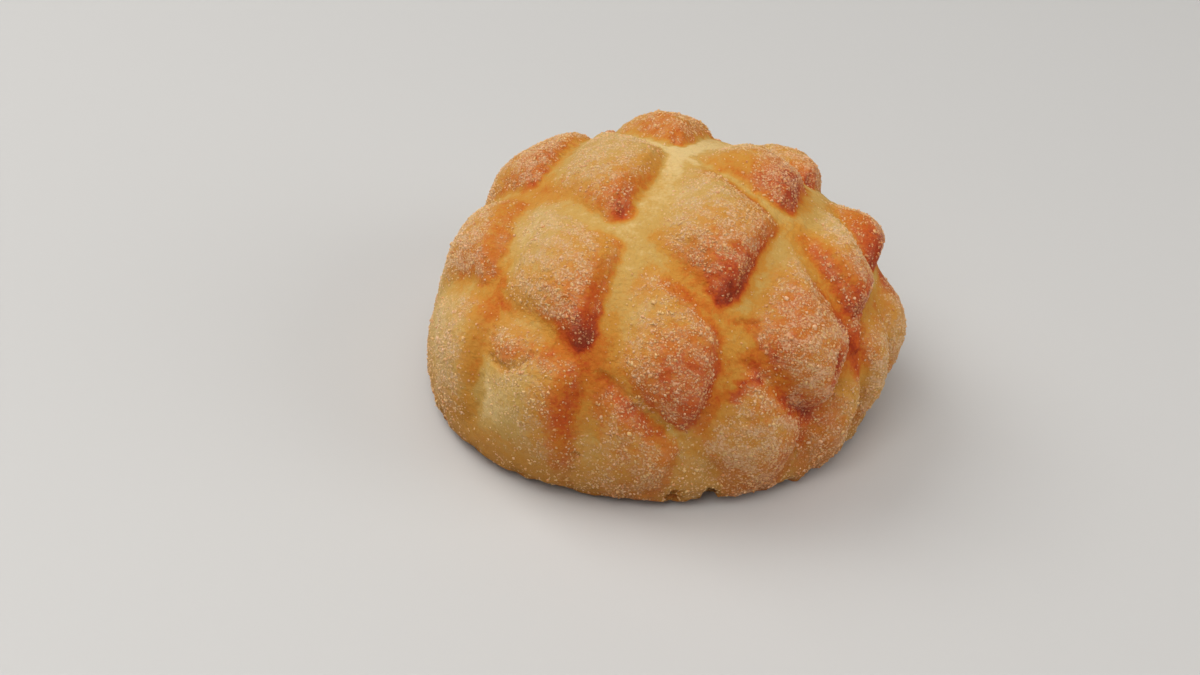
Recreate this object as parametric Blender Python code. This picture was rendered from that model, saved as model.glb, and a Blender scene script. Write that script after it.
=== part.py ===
"""Melon bread: a domed sweet bun whose biscuit crust was scored in a lattice of diamonds before it was baked.

The bun is one solid. It is modelled in metres with +Z up, flat on z = 0 with the middle of its box on the Z axis,
and its shown side faces -Y. Places on the crust are given on the dome unrolled about its top: u runs to the right,
v to the back, and their length is the arc from the top.
"""

import math
from typing import NamedTuple

import bmesh
import bpy
import numpy as np

MM = 0.001

# The plain dome, before it is scored
WAIST_RADIUS = 54.4 * MM
HEIGHT = 58.3 * MM
WAIST_HEIGHT = 21.8 * MM
BASE_RADIUS = 49.0 * MM
DOME_POWER = 1.9
LEAN = 0.133
# How the plan departs from a circle: waves round it, and the cosine and sine share of the radius
PLAN_WAVES = ((2, -0.006, -0.014), (3, 0.020, -0.024), (4, -0.005, 0.005))

# Cells along each edge of the cube that is blown up into the bun, and the angle from its top that the dome takes
CELLS = 31
DOME_SPAN = math.radians(164)
PROFILE_STEPS = 400

# The two headings that the scores run in, and the stations along them at which each score's place is given
LONG_HEADING = math.radians(75)
CROSS_HEADING = math.radians(-45)
FIRST_STATION = -75 * MM
STATION_STEP = 25 * MM


class Score(NamedTuple):
    """One cut in the crust, opened by the oven: its distance to the right of the top at each station, in
    millimetres, the width of its floor in millimetres and its share of the full depth."""

    places: tuple
    width: float
    depth: float


# Cuts from the front to the back, the leftmost first
LONG_SCORES = (
    Score((-74, -64, -67, -67, -61, -53, -45), 2.0, 0.6),
    Score((-42, -34.5, -37, -36.5, -33, -24, -16), 2.6, 0.8),
    Score((-3, -4.2, -5.5, -6, -1.5, 4, 10), 4.6, 1.0),
    Score((32, 27.5, 24.5, 27, 32, 38, 46), 3.6, 1.0),
    Score((76, 65, 55, 53.5, 56, 62, 70), 1.6, 0.9),
    Score((104, 94, 86, 82, 84, 90, 98), 2.4, 0.6),
)
# Cuts from the back left to the front right, the backmost first
CROSS_SCORES = (
    Score((-78, -70, -64, -61, -58, -55, -56), 2.0, 0.8),
    Score((-50, -42, -36, -33, -29, -27, -32), 1.4, 0.9),
    Score((-24, -16, -7.5, -6, -7, -7, -18), 2.2, 0.85),
    Score((25, 24, 25, 25, 24, 20.5, 7), 2.8, 0.9),
    Score((60, 57, 53, 53.5, 52, 48, 40), 1.8, 0.8),
    Score((96, 90, 88, 83, 80, 76, 70), 0.6, 0.25),
)

# A diamond rises from each of its four edges as a straight face and swells on from there: the face's width, the
# share of the full rise that it takes, and the distance from the edge at which the diamond is at its full height
LEFT = (3.4 * MM, 0.26, 16 * MM)
RIGHT = (4.2 * MM, 0.70, 15 * MM)
UPPER = (4.6 * MM, 0.62, 14 * MM)
LOWER = (3.6 * MM, 0.50, 13 * MM)
# How square a diamond's corners are, and the reach over which its lowest tip is rounded off
CORNER_POWER = 3.0
TIP_ROUND = 6.0 * MM
# Depth of the lattice, the share of it that lies below the plain dome, and the softness of the foot of a diamond
DEPTH = 5.0 * MM
SINK = 0.85
FOOT = 0.14
# How much higher a diamond's bottom tip stands than its middle, as a share of the depth, and the chance in that
TIP_LIFT = 0.40
UNEVENNESS = 0.06
SEED = 11
# The lattice fades with the distance from this place, and nothing is left of it or the swells at the rim
FADE_U, FADE_V = 10 * MM, 0 * MM
FADE_START, FADE_END = 66 * MM, 98 * MM
RIM_START, RIM_END = 80 * MM, 95 * MM
# Handwork: how far the lattice sways and the dough swells, in slanting waves of so much turn per millimetre
SWAY = 1.3 * MM
SWAY_WAVES = ((0.151, 0.083, 0.4), (-0.097, 0.142, 2.1), (0.212, -0.176, 4.0), (0.064, 0.231, 5.2))
SWELL = 0.35 * MM
SWELL_WAVES = ((0.11, 0.05, 1.0), (-0.06, 0.13, 3.1), (0.19, 0.16, 0.2))

CRUST_COLOUR = (0.50, 0.24, 0.075, 1.0)
CRUST_ROUGHNESS = 0.7


def ease(low, high, value):
    """0 below low, 1 above high and an even passage between them."""
    share = np.clip((value - low) / (high - low), 0, 1)
    return share * share * (3 - 2 * share)


def ripple(waves, u, v):
    """Mean of slanting waves over the unrolled dome."""
    return sum(np.sin((across * u + up * v) / MM + start) for across, up, start in waves) / len(waves)


def dome_profile():
    """Arc length, radius and height of points from the top of the plain dome down to the edge of its base."""
    turn = np.linspace(0, math.pi / 2, PROFILE_STEPS)
    upper_radius = WAIST_RADIUS * np.sin(turn) ** (2 / DOME_POWER)
    upper_height = WAIST_HEIGHT + (HEIGHT - WAIST_HEIGHT) * np.cos(turn) ** (2 / DOME_POWER)
    lower_radius = BASE_RADIUS + (WAIST_RADIUS - BASE_RADIUS) * np.cos(turn)
    lower_height = WAIST_HEIGHT * (1 - np.sin(turn))
    radius = np.concatenate([upper_radius, lower_radius[1:]])
    height = np.concatenate([upper_height, lower_height[1:]])
    steps = np.hypot(np.diff(radius), np.diff(height))
    return np.concatenate([[0], np.cumsum(steps)]), radius, height


def course(places, along):
    """A score's place at each distance along its heading: a smooth curve through its stations."""
    spot = np.clip((along - FIRST_STATION) / STATION_STEP, 0, len(places) - 1.001)
    start = spot.astype(int)
    share = spot - start
    ends = (2 * places[0] - places[1]), (2 * places[-1] - places[-2])
    stations = np.array([ends[0], *places, ends[1]]) * MM
    before, here, after, beyond = (stations[start + step] for step in range(4))
    bend = 2 * before - 5 * here + 4 * after - beyond
    twist = 3 * (here - after) + beyond - before
    return here + share * (after - before + share * (bend + share * twist)) / 2


def swell_up(distance, side):
    """How far a diamond has risen at a distance from its edge: 0 on the edge and 1 from the side's reach on."""
    width, share, reach = side
    face = np.clip(distance / width, 0, 1)
    swell = 1 - (1 - np.clip((distance - width) / (reach - width), 0, 1)) ** 2
    return share * face + (1 - share) * swell


class Strip(NamedTuple):
    """Where points lie between two neighbouring scores of one heading: the strip's number, the distances past
    the first score's floor and before the second's, and how deep the two are."""

    number: np.ndarray
    first: np.ndarray
    last: np.ndarray
    depths: tuple


def strip(heading, scores, u, v):
    """The strip that each point lies in."""
    along = u * math.cos(heading) + v * math.sin(heading)
    right = u * math.sin(heading) - v * math.cos(heading)
    across = np.array([right - course(score.places, along) for score in scores])
    number = np.clip((across > 0).sum(axis=0) - 1, 0, len(scores) - 2)
    points = np.arange(len(u))
    half = np.array([score.width for score in scores]) * MM / 2
    depth = np.array([score.depth for score in scores])
    first = across[number, points] - half[number]
    last = -across[number + 1, points] - half[number + 1]
    return Strip(number, first, last, (depth[number], depth[number + 1]))


def sink(first, last, depths, sides):
    """How far the crust has sunk between two scores, and how much of a diamond's body it is in there."""
    rise, fall = swell_up(first, sides[0]), swell_up(last, sides[1])
    return 1 - (1 - depths[0] * (1 - rise)) * (1 - depths[1] * (1 - fall)), rise * fall


def relief(u, v):
    """Height of the scored crust over the plain dome."""
    arc = np.hypot(u, v)
    u, v = u + SWAY * ripple(SWAY_WAVES, u, v), v + SWAY * ripple(SWAY_WAVES, v, -u)
    long, cross = strip(LONG_HEADING, LONG_SCORES, u, v), strip(CROSS_HEADING, CROSS_SCORES, u, v)
    short, low = np.maximum(TIP_ROUND - long.last, 0), np.maximum(TIP_ROUND - cross.last, 0)
    cut_off = np.hypot(short, low) - np.maximum(short, low)
    left, right, upper, lower = long.first, long.last - cut_off, cross.first, cross.last - cut_off
    sunk_long, body_long = sink(left, right, long.depths, (LEFT, RIGHT))
    sunk_cross, body_cross = sink(upper, lower, cross.depths, (UPPER, LOWER))
    sunk = np.clip((sunk_long**CORNER_POWER + sunk_cross**CORNER_POWER) ** (1 / CORNER_POWER), 0, 1)
    risen = (np.hypot(1 - sunk, FOOT) - FOOT) / (math.hypot(1, FOOT) - FOOT)
    chance = np.random.default_rng(SEED).normal(0, UNEVENNESS, (len(LONG_SCORES), len(CROSS_SCORES)))
    across, down = np.clip(left / (left + right), 0, 1), np.clip(upper / (upper + lower), 0, 1)
    lift = TIP_LIFT * (across + down - 1) + chance[long.number, cross.number]
    fade = 1 - ease(FADE_START, FADE_END, np.hypot(u - FADE_U, v - FADE_V))
    height = DEPTH * (risen - SINK + body_long * body_cross * lift) * fade + SWELL * ripple(SWELL_WAVES, u, v)
    return height * (1 - ease(RIM_START, RIM_END, arc))


def bun_points(directions):
    """The point of the bun that each direction of the blown-up cube goes to."""
    arcs, radii, heights = dome_profile()
    rim = arcs[-1]
    polar = np.arccos(np.clip(directions[:, 2], -1, 1))
    azimuth = np.arctan2(directions[:, 1], directions[:, 0])
    arc = np.interp(polar, [0, DOME_SPAN, math.pi], [0, rim, rim + BASE_RADIUS])
    on_dome = arc < rim
    radius = np.where(on_dome, np.interp(arc, arcs, radii), rim + BASE_RADIUS - arc)
    height = np.where(on_dome, np.interp(arc, arcs, heights), 0.0)
    rise = np.where(on_dome, relief(arc * np.cos(azimuth), arc * np.sin(azimuth)), 0.0)
    radius -= rise * np.interp(arc, arcs, np.gradient(heights, arcs))
    height += rise * np.interp(arc, arcs, np.gradient(radii, arcs))
    waves = [a * np.cos(turns * azimuth) + b * np.sin(turns * azimuth) for turns, a, b in PLAN_WAVES]
    radius *= 1 + sum(waves)
    return np.stack([radius * np.cos(azimuth) + LEAN * height, radius * np.sin(azimuth), height], axis=1)


def unit(vectors):
    """The vectors at a length of 1."""
    return vectors / np.linalg.norm(vectors, axis=1)[:, None]


def cube_grid():
    """Directions and four-sided faces of a cube cut into even angles as seen from its middle."""
    cube = bmesh.new()
    bmesh.ops.create_cube(cube, size=2)
    bmesh.ops.subdivide_edges(cube, edges=cube.edges, cuts=CELLS - 1, use_grid_fill=True)
    corners = np.array([vertex.co for vertex in cube.verts])
    faces = np.array([[vertex.index for vertex in face.verts] for face in cube.faces])
    cube.free()
    return unit(np.tan(corners * math.pi / 4)), faces


def best_triangles(directions, faces, points):
    """Each four-sided face cut along the diagonal whose middle lies nearer the bun."""
    misses = []
    for one, other in ((0, 2), (1, 3)):
        first, second = faces[:, one], faces[:, other]
        wanted = bun_points(unit(directions[first] + directions[second]))
        misses.append(np.linalg.norm((points[first] + points[second]) / 2 - wanted, axis=1))
    turned = np.where((misses[0] <= misses[1])[:, None], faces, np.roll(faces, -1, axis=1))
    return np.concatenate([turned[:, [0, 1, 2]], turned[:, [0, 2, 3]]])


def crust_material():
    """Baked biscuit crust in its mean colour."""
    material = bpy.data.materials.new("crust")
    material.use_nodes = True
    shader = material.node_tree.nodes["Principled BSDF"]
    shader.inputs["Base Color"].default_value = CRUST_COLOUR
    shader.inputs["Roughness"].default_value = CRUST_ROUGHNESS
    return material


def melon_bread():
    """The bun, set down with the middle of its box on the Z axis."""
    directions, faces = cube_grid()
    points = bun_points(directions)
    triangles = best_triangles(directions, faces, points)
    middle = (points.min(axis=0) + points.max(axis=0)) / 2
    points[:, :2] -= middle[:2]
    mesh = bpy.data.meshes.new("melon_bread")
    mesh.from_pydata(points.tolist(), [], triangles.tolist())
    mesh.shade_smooth()
    mesh.materials.append(crust_material())
    bun = bpy.data.objects.new("melon_bread", mesh)
    bpy.context.collection.objects.link(bun)


def main():
    for old in list(bpy.data.objects):
        bpy.data.objects.remove(old)
    melon_bread()


main()
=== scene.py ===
# %% [markdown]
# # A melon bread, from its plain solid to its sugared crust
#
# A melon bread is a round sweet bun that is baked under a thin sheet of biscuit dough. The sheet is scored in
# a lattice and pressed in sugar first. In the oven the bun swells, the scores open into pale valleys, and the
# diamonds between them brown, most of all where they stand up into the heat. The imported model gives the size
# and place of the bun. This lesson dresses it: it is loaded first, and nothing in it is moved.

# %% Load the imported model
import math
from typing import NamedTuple

import bpy
import numpy as np
from mathutils import Matrix, Vector


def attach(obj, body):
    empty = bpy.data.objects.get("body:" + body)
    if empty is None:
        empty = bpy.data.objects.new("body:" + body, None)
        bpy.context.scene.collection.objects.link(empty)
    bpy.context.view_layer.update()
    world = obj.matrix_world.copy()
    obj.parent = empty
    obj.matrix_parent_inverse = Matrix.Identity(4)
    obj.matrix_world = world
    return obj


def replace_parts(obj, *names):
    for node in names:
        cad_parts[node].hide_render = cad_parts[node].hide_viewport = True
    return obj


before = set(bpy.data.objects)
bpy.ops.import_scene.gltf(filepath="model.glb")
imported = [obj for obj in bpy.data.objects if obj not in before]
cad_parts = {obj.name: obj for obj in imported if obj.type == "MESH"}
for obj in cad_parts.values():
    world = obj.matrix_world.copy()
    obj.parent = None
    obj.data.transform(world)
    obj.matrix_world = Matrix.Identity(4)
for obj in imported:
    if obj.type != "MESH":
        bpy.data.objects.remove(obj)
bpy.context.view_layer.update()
MM = 0.001

# %% [markdown]
# ## The camera
#
# The photograph looks down on the bun from in front. The camera's place was found by fitting a dome to the
# bun's outline: the view sinks 36 degrees and rolls 3.9 degrees. The bun's dome stands round its own axis, a
# little beside the middle of the solid's box, so every place that belongs to the dome is given round that
# axis and moved over at the end.

# %% Aim the camera
DOME_AXIS = Vector((-3.66, -1.28, 0)) * MM
CAMERA_PLACE = Vector((-10.8, -361.0, 270.7)) * MM + DOME_AXIS
VIEW_SINKS = math.radians(36)
VIEW_ROLLS = math.radians(3.9)
LENS_MM = 56.9
CLIP_START = 10 * MM


def aim_camera():
    camera = bpy.data.objects.new("camera", bpy.data.cameras.new("camera"))
    bpy.context.collection.objects.link(camera)
    camera.data.lens = LENS_MM
    camera.data.clip_start = CLIP_START
    level = Matrix.Rotation(math.radians(90) - VIEW_SINKS, 4, "X")
    roll = Matrix.Rotation(VIEW_ROLLS, 4, "Z")
    camera.matrix_world = Matrix.Translation(CAMERA_PLACE) @ level @ roll
    bpy.context.scene.camera = camera


aim_camera()
print("the camera is", round((CAMERA_PLACE - DOME_AXIS).length, 3), "m from the bun")

# %% [markdown]
# ## Floor and light
#
# The light in the photograph is a window: large, soft, high up behind the bun and to its left, so that the
# upper left of the crust is bright and the front, near the base, falls into shade. Four square panels face
# the bun. The strongest stands in for the window. The others, for the ceiling, the wall to the right and the
# room in front, keep the shade warm and open, and the world fills in the rest. The floor is a plain pale
# sheet.

# %% Lay the floor and hang the lights
FLOOR_SIDE, FLOOR_ROUGHNESS = 6, 0.6
FLOOR_COLOUR = (0.565, 0.56, 0.55, 1)
WORLD_COLOUR = (0.95, 0.96, 0.98, 1)
WORLD_STRENGTH = 0.20
LIT_PLACE = Vector((0, 0, 0.03))
# Name, place and side in metres, watts, and colour
PANELS = (
    ("window", (-0.73, 0.38, 0.97), 0.8, 8.8, (1.0, 0.985, 0.96)),
    ("ceiling", (0.0, -0.1, 1.3), 1.0, 3.5, (1.0, 0.98, 0.95)),
    ("wall", (1.1, -0.15, 0.6), 0.8, 4.8, (1.0, 0.97, 0.93)),
    ("room", (-0.3, -0.8, 1.15), 0.9, 7.7, (1.0, 0.97, 0.93)),
)


def lay_floor():
    bpy.ops.mesh.primitive_plane_add(size=FLOOR_SIDE)
    floor = bpy.context.object
    floor.name = "floor"
    material = bpy.data.materials.new("pale_floor")
    material.use_nodes = True
    shader = material.node_tree.nodes["Principled BSDF"]
    shader.inputs["Base Color"].default_value = FLOOR_COLOUR
    shader.inputs["Roughness"].default_value = FLOOR_ROUGHNESS
    floor.data.materials.append(material)


def hang_panel(name, place, size, watts, colour):
    """A square light that faces the bun."""
    light = bpy.data.lights.new(name, "AREA")
    light.shape, light.size, light.energy, light.color = "SQUARE", size, watts, colour
    panel = bpy.data.objects.new(name, light)
    panel.location = place
    panel.rotation_euler = (LIT_PLACE - panel.location).to_track_quat("-Z", "Y").to_euler()
    bpy.context.collection.objects.link(panel)


lay_floor()
for panel in PANELS:
    hang_panel(*panel)
world = bpy.data.worlds.new("room")
world.use_nodes = True
background = world.node_tree.nodes["Background"]
background.inputs["Color"].default_value = WORLD_COLOUR
background.inputs["Strength"].default_value = WORLD_STRENGTH
bpy.context.scene.world = world
bpy.context.scene.view_settings.view_transform = "Standard"

# %% [markdown]
# ## A short way to write materials
#
# A material is a network of nodes, but most of it is sums on masks. A small class wraps a node's output, so
# that a sum written in Python adds its Math nodes, and one method adds any other node. Colours never go
# through a Math node, which would turn them grey: they meet in Mix nodes.


# %% Wrap a node's output for sums
class Wire:
    """An output of a node. Sums on it add Math nodes."""

    def __init__(self, recipe, socket):
        self.recipe, self.socket = recipe, socket

    def _sum(self, operation, one, other):
        return self.recipe.node("ShaderNodeMath", {"operation": operation}, {0: one, 1: other})

    def __add__(self, other):
        return self._sum("ADD", self, other)

    def __sub__(self, other):
        return self._sum("SUBTRACT", self, other)

    def __rsub__(self, other):
        return self._sum("SUBTRACT", other, self)

    def __mul__(self, other):
        return self._sum("MULTIPLY", self, other)

    __radd__ = __add__
    __rmul__ = __mul__


print("wires add, subtract and multiply")


# %% Write a material as a recipe
class Recipe:
    """A material with one Principled shader, built up node by node."""

    def __init__(self, name, **constants):
        self.material = bpy.data.materials.new(name)
        self.material.use_nodes = True
        self.tree = self.material.node_tree
        self.shader = self.tree.nodes["Principled BSDF"]
        for socket, value in constants.items():
            self.shader.inputs[socket.replace("_", " ")].default_value = value

    def node(self, kind, settings=None, sockets=None, output=0):
        """Adds a node, sets it up, fills its sockets with values or wires, and gives one output."""
        made = self.tree.nodes.new(kind)
        for name, value in (settings or {}).items():
            setattr(made, name, value)
        for name, value in (sockets or {}).items():
            if isinstance(value, Wire):
                self.tree.links.new(value.socket, made.inputs[name])
            else:
                made.inputs[name].default_value = value
        return Wire(self, made.outputs[output])

    def mask(self, name):
        """A mask that the mesh carries as an attribute."""
        return self.node("ShaderNodeAttribute", {"attribute_name": name}, output="Fac")

    def grain(self, size, detail=2.0):
        """Noise with lumps of about this size, in metres."""
        place = self.node("ShaderNodeTexCoord", output="Object")
        sockets = {"Vector": place, "Scale": 1 / size, "Detail": detail}
        return self.node("ShaderNodeTexNoise", sockets=sockets, output="Fac")

    def ease(self, low, high, value):
        """0 below low, 1 above high and an even passage between them."""
        sockets = {"Value": value, "From Min": low, "From Max": high}
        return self.node("ShaderNodeMapRange", {"interpolation_type": "SMOOTHSTEP"}, sockets)

    def mix(self, share, one, other):
        """The first colour, passing over to the other as the share goes from 0 to 1."""
        return self.node("ShaderNodeMix", {"data_type": "RGBA"}, {0: share, 6: one, 7: other}, output=2)

    def bump(self, height, distance, strength):
        sockets = {"Height": height, "Distance": distance, "Strength": strength}
        return self.node("ShaderNodeBump", sockets=sockets)

    def feed(self, **wires):
        """Links wires to the shader's own sockets."""
        for socket, wire in wires.items():
            self.tree.links.new(wire.socket, self.shader.inputs[socket.replace("_", " ")])
        return self.material


print("recipes are ready")

# %% [markdown]
# ## The dome and its scores
#
# The bun's form is a rule, and the solid was made by the same one. A dome is unrolled about its top: u runs
# to the right and v to the back, and their length is the arc from the top. On that sheet lie two families of
# scores, each a smooth curve through a few stations. A diamond swells up from the four scores round it, more
# steeply on the side that faces away from the window, and its lowest tip stands highest, like a scale.
#
# An operator can't push such a lattice into a mesh, so the points are placed by the rule.

# %% Name the dome's sizes
WAIST_RADIUS, WAIST_HEIGHT = 54.4 * MM, 21.8 * MM
HEIGHT, BASE_RADIUS = 58.3 * MM, 49.0 * MM
DOME_POWER = 1.9
# How far the bun leans to the right for its height
LEAN = 0.133
# Waves of the plan: how many go round it, and the cosine and sine of each
PLAN_WAVES = ((2, -0.006, -0.014), (3, 0.020, -0.024), (4, -0.005, 0.005))
LONG_HEADING, CROSS_HEADING = math.radians(75), math.radians(-45)
# Where the stations lie along a score
FIRST_STATION, STATION_STEP = -75 * MM, 25 * MM


class Score(NamedTuple):
    """A cut: its distance to the right of the top at each station and its floor's width, both in mm, and its
    depth, as a share of a full score's."""

    places: tuple
    width: float
    depth: float


LONG_SCORES = (
    Score((-74, -64, -67, -67, -61, -53, -45), 2.0, 0.6),
    Score((-42, -34.5, -37, -36.5, -33, -24, -16), 2.6, 0.8),
    Score((-3, -4.2, -5.5, -6, -1.5, 4, 10), 4.6, 1.0),
    Score((32, 27.5, 24.5, 27, 32, 38, 46), 3.6, 1.0),
    Score((76, 65, 55, 53.5, 56, 62, 70), 1.6, 0.9),
    Score((104, 94, 86, 82, 84, 90, 98), 2.4, 0.6),
)
CROSS_SCORES = (
    Score((-78, -70, -64, -61, -58, -55, -56), 2.0, 0.8),
    Score((-50, -42, -36, -33, -29, -27, -32), 1.4, 0.9),
    Score((-24, -16, -7.5, -6, -7, -7, -18), 2.2, 0.85),
    Score((25, 24, 25, 25, 24, 20.5, 7), 2.8, 0.9),
    Score((60, 57, 53, 53.5, 52, 48, 40), 1.8, 0.8),
    Score((96, 90, 88, 83, 80, 76, 70), 0.6, 0.25),
)
# A diamond's sides: how wide the straight face is, its share of the rise, and how far the swell reaches
LEFT, RIGHT = (3.4 * MM, 0.26, 16 * MM), (4.2 * MM, 0.70, 15 * MM)
UPPER, LOWER = (4.6 * MM, 0.62, 14 * MM), (3.6 * MM, 0.50, 13 * MM)
# How sharply two scores meet at a corner
CORNER_POWER = 3.0
# How deep a score is, how much of that lies below the plain dome, and how round its floor's edges are
DEPTH, SINK, FOOT = 5.0 * MM, 0.85, 0.14
# How much higher a tip stands, how unlike the diamonds are, and how round a tip is
TIP_LIFT, UNEVENNESS, SEED = 0.40, 0.06, 11
TIP_ROUND = 6.0 * MM
# The middle of the lattice, and where it fades out: round that middle, and towards the rim
FADE_U, FADE_V = 10 * MM, 0 * MM
FADE_START, FADE_END = 66 * MM, 98 * MM
RIM_START, RIM_END = 80 * MM, 95 * MM
# How far the scores sway and the dome swells, in waves: radians per mm to the right and to the back, and
# where each starts
SWAY, SWELL = 1.3 * MM, 0.35 * MM
SWAY_WAVES = ((0.151, 0.083, 0.4), (-0.097, 0.142, 2.1), (0.212, -0.176, 4.0), (0.064, 0.231, 5.2))
SWELL_WAVES = ((0.11, 0.05, 1.0), (-0.06, 0.13, 3.1), (0.19, 0.16, 0.2))
print(len(LONG_SCORES) + len(CROSS_SCORES), "scores")


# %% Work out the dome's profile and the scores' courses
PROFILE_POINTS = 400


def ease(low, high, value):
    """0 below low, 1 above high and an even passage between them."""
    share = np.clip((value - low) / (high - low), 0, 1)
    return share * share * (3 - 2 * share)


def ripple(waves, u, v):
    """Mean of slanting waves over the unrolled dome."""
    return sum(np.sin((across * u + up * v) / MM + start) for across, up, start in waves) / len(waves)


def dome_profile():
    """Arc length, radius and height of points from the top of the plain dome down to the edge of its base."""
    turn = np.linspace(0, math.pi / 2, PROFILE_POINTS)
    upper_radius = WAIST_RADIUS * np.sin(turn) ** (2 / DOME_POWER)
    upper_height = WAIST_HEIGHT + (HEIGHT - WAIST_HEIGHT) * np.cos(turn) ** (2 / DOME_POWER)
    lower_radius = BASE_RADIUS + (WAIST_RADIUS - BASE_RADIUS) * np.cos(turn)
    lower_height = WAIST_HEIGHT * (1 - np.sin(turn))
    radius = np.concatenate([upper_radius, lower_radius[1:]])
    height = np.concatenate([upper_height, lower_height[1:]])
    steps = np.hypot(np.diff(radius), np.diff(height))
    return np.concatenate([[0], np.cumsum(steps)]), radius, height


def course(places, along):
    """A score's place at each distance along its heading: a smooth curve through its stations."""
    spot = np.clip((along - FIRST_STATION) / STATION_STEP, 0, len(places) - 1.001)
    start = spot.astype(int)
    share = spot - start
    ends = (2 * places[0] - places[1]), (2 * places[-1] - places[-2])
    stations = np.array([ends[0], *places, ends[1]]) * MM
    before, here, after, beyond = (stations[start + step] for step in range(4))
    bend = 2 * before - 5 * here + 4 * after - beyond
    twist = 3 * (here - after) + beyond - before
    return here + share * (after - before + share * (bend + share * twist)) / 2


ARCS, RADII, HEIGHTS = dome_profile()
RIM = ARCS[-1]
print("the crust runs", round(RIM / MM, 1), "mm from the top to the rim")


# %% Find each point's place in its diamond
def swell_up(distance, side):
    """How far a diamond has risen at a distance from its edge: a straight face as wide and as high as the
    side says, and a gentle swell from there to the side's reach."""
    width, share, reach = side
    face = np.clip(distance / width, 0, 1)
    swell = 1 - (1 - np.clip((distance - width) / (reach - width), 0, 1)) ** 2
    return share * face + (1 - share) * swell


class Strip(NamedTuple):
    """Where points lie between two neighbouring scores: the strip's number, the distance beyond the first
    score's floor and before the second's, and how deep both scores are."""

    number: np.ndarray
    first: np.ndarray
    last: np.ndarray
    depths: tuple


def strip(heading, scores, u, v):
    """Finds the strip of one family of scores that each point lies in."""
    along = u * math.cos(heading) + v * math.sin(heading)
    right = u * math.sin(heading) - v * math.cos(heading)
    across = np.array([right - course(score.places, along) for score in scores])
    number = np.clip((across > 0).sum(axis=0) - 1, 0, len(scores) - 2)
    points = np.arange(len(u))
    half = np.array([score.width for score in scores]) * MM / 2
    depth = np.array([score.depth for score in scores])
    first = across[number, points] - half[number]
    last = -across[number + 1, points] - half[number + 1]
    return Strip(number, first, last, (depth[number], depth[number + 1]))


def sink(first, last, depths, sides):
    """How far the crust has sunk between two scores, and how much of a body it is there."""
    rise, fall = swell_up(first, sides[0]), swell_up(last, sides[1])
    return 1 - (1 - depths[0] * (1 - rise)) * (1 - depths[1] * (1 - fall)), rise * fall


class Place(NamedTuple):
    """Where points lie in the lattice: distances from the diamond's four edges, shares of the way across and
    down it, its column and row, how far they have risen, and their height over the plain dome."""

    left: np.ndarray
    right: np.ndarray
    upper: np.ndarray
    lower: np.ndarray
    across: np.ndarray
    down: np.ndarray
    column: np.ndarray
    row: np.ndarray
    risen: np.ndarray
    height: np.ndarray


def lattice(u, v):
    """Finds the place in the lattice of points on the unrolled dome."""
    arc = np.hypot(u, v)
    u, v = u + SWAY * ripple(SWAY_WAVES, u, v), v + SWAY * ripple(SWAY_WAVES, v, -u)
    long, cross = strip(LONG_HEADING, LONG_SCORES, u, v), strip(CROSS_HEADING, CROSS_SCORES, u, v)
    short, low = np.maximum(TIP_ROUND - long.last, 0), np.maximum(TIP_ROUND - cross.last, 0)
    cut_off = np.hypot(short, low) - np.maximum(short, low)
    right, lower = long.last - cut_off, cross.last - cut_off
    left, upper = long.first, cross.first
    across, down = np.clip(left / (left + right), 0, 1), np.clip(upper / (upper + lower), 0, 1)
    sunk_long, body_long = sink(left, right, long.depths, (LEFT, RIGHT))
    sunk_cross, body_cross = sink(upper, lower, cross.depths, (UPPER, LOWER))
    sunk = np.clip((sunk_long**CORNER_POWER + sunk_cross**CORNER_POWER) ** (1 / CORNER_POWER), 0, 1)
    risen = (np.hypot(1 - sunk, FOOT) - FOOT) / (math.hypot(1, FOOT) - FOOT)
    chance = np.random.default_rng(SEED).normal(0, UNEVENNESS, (len(LONG_SCORES), len(CROSS_SCORES)))
    lift = TIP_LIFT * (across + down - 1) + chance[long.number, cross.number]
    fade = 1 - ease(FADE_START, FADE_END, np.hypot(u - FADE_U, v - FADE_V))
    height = DEPTH * (risen - SINK + body_long * body_cross * lift) * fade + SWELL * ripple(SWELL_WAVES, u, v)
    height *= 1 - ease(RIM_START, RIM_END, arc)
    return Place(left, right, upper, lower, across, down, long.number, cross.number, risen, height)


top = lattice(np.zeros(1), np.zeros(1))
print("at its top the crust lies", round(-float(top.height[0]) / MM, 1), "mm under the plain dome")


# %% [markdown]
# ## The bun's skin
#
# A sphere made of rings would crowd its points at the top. A cube whose sides are cut into a fine grid and
# then blown up has even cells all over, so the skin starts as a cube primitive, is subdivided in edit mode,
# and its points are then sent to their places on the bun. The same points later carry the masks that the
# crust's material needs: how brown it is, with some painted shade in it, how thick and how clumped the sugar
# lies, and where the underside is, with painted shade on the band just above it.

# %% Blow a cube up into the bun
CELLS = 128
DOME_SPAN = math.radians(164)
LIP_LIFT, LIP_REACH = 1.5 * MM, 6 * MM


def only_select(piece):
    bpy.ops.object.select_all(action="DESELECT")
    piece.select_set(True)
    bpy.context.view_layer.objects.active = piece


def cube_skin():
    """A cube with a fine grid on each side, and the direction of each of its points from the middle."""
    bpy.ops.object.select_all(action="DESELECT")
    bpy.ops.mesh.primitive_cube_add(size=2)
    skin = bpy.context.object
    skin.name = skin.data.name = "crust"
    bpy.ops.object.mode_set(mode="EDIT")
    bpy.ops.mesh.select_all(action="SELECT")
    bpy.ops.mesh.subdivide(number_cuts=CELLS - 1)
    bpy.ops.object.mode_set(mode="OBJECT")
    corners = np.empty(len(skin.data.vertices) * 3, np.float32)
    skin.data.vertices.foreach_get("co", corners)
    spread = np.tan(corners.reshape(-1, 3).astype(float) * math.pi / 4)
    return skin, spread / np.linalg.norm(spread, axis=1)[:, None]


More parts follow.
